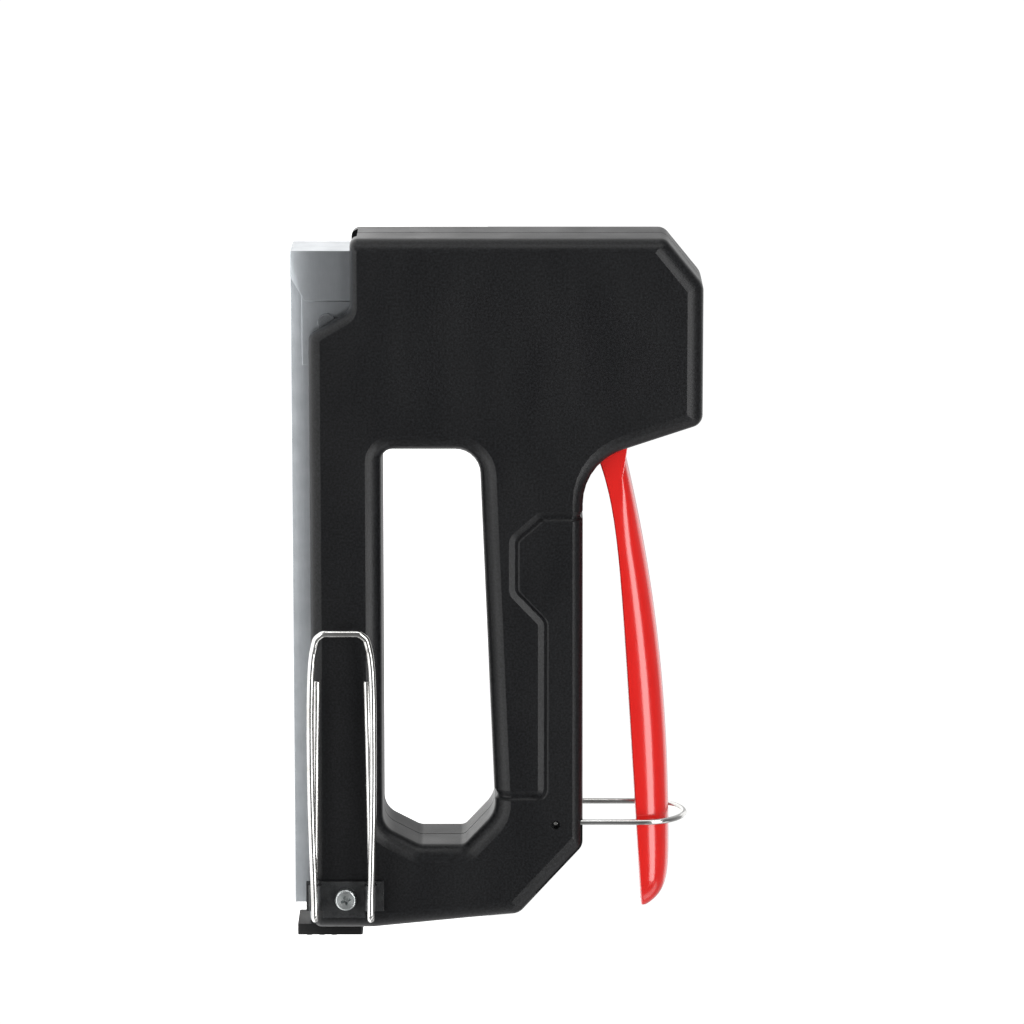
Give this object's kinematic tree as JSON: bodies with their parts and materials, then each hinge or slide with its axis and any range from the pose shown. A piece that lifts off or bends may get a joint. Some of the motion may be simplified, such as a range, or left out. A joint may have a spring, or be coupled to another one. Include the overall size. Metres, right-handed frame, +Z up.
{
  "type": "staple gun",
  "caption": "Hand staple gun with a closed moulded grip, a red squeeze lever held by a wire lock loop, a rear-loading magazine and a wire belt clip.",
  "frame": {"origin": "Centre of the staple exit, where the driver blade's mid-plane meets the base plane of the magazine", "axes": "+X runs back from the nose to the rear of the grip, +Y to the tool's left as seen from behind with the magazine down, +Z up from the magazine to the lever"},
  "size_m": [0.2008, 0.0377, 0.1142],
  "materials": {
    "moulded_nylon": "fine spark-eroded grain",
    "smooth_nylon": "satin",
    "red_enamel": "gloss",
    "plated_sheet": "zinc plated",
    "dark_steel": "oiled",
    "hardened_blade": "ground",
    "spring_steel": "drawn",
    "nickel_wire": "nickel plated",
    "dark_plate": "dark plated",
    "zinc_screw": "zinc plated",
    "bumper_rubber": "matte"
  },
  "bodies": {
    "tool": {"body_left": "moulded_nylon", "body_right": "moulded_nylon", "body_screws": "zinc_screw", "mechanism_frame": "plated_sheet", "nose_plate": "plated_sheet", "spring_seat": "plated_sheet", "bumper": "bumper_rubber", "lever_pin": "hardened_blade", "magazine_channel": "plated_sheet", "magazine_rivets": "zinc_screw", "belt_clip": "nickel_wire", "clip_plate": "dark_plate", "clip_screw": "zinc_screw", "drive_spring": "spring_steel"},
    "lever": {"lever": "red_enamel", "lift_pin": "hardened_blade", "lift_roller": "dark_steel", "lever_spring": "spring_steel"},
    "plunger": {"driver_plunger": "dark_steel", "driver_blade": "hardened_blade", "blade_rivets": "dark_steel"},
    "rail": {"staple_rail": "plated_sheet", "pusher_rod": "hardened_blade", "rail_end_cap": "smooth_nylon", "end_cap_rivet": "zinc_screw", "pusher_spring": "spring_steel"},
    "pusher": {"staple_pusher": "dark_steel"},
    "loop": {"lock_loop": "nickel_wire"}
  },
  "joints": [
    {"name": "lever_squeeze", "type": "hinge", "parent": "tool", "child": "lever", "pos_m": [0.042, 0, 0.088], "axis": [0, 1, 0], "range_deg": [0, 7], "stiffness_Nm_per_rad": 1.2, "springref_deg": -14.9},
    {"name": "plunger_lift", "type": "slide", "parent": "tool", "child": "plunger", "axis": [0, 0, 1], "range_m": [0, 0.0035], "deforming": ["drive_spring"]},
    {"name": "loop_swing", "type": "hinge", "parent": "tool", "child": "loop", "pos_m": [0.1599, 0, 0.0736], "axis": [0, 1, 0], "range_deg": [0, 20]},
    {"name": "rail_pull", "type": "slide", "parent": "tool", "child": "rail", "axis": [1, 0, 0], "range_m": [0, 0.08]},
    {"name": "pusher_travel", "type": "slide", "parent": "rail", "child": "pusher", "axis": [1, 0, 0], "range_m": [0, 0.08], "stiffness_N_per_m": 40, "springref_m": -0.04, "deforming": ["pusher_spring"]}
  ],
  "couplings": [
    {"joint": "plunger_lift", "follows": "lever_squeeze", "m_per_rad": 0.02798}
  ]
}
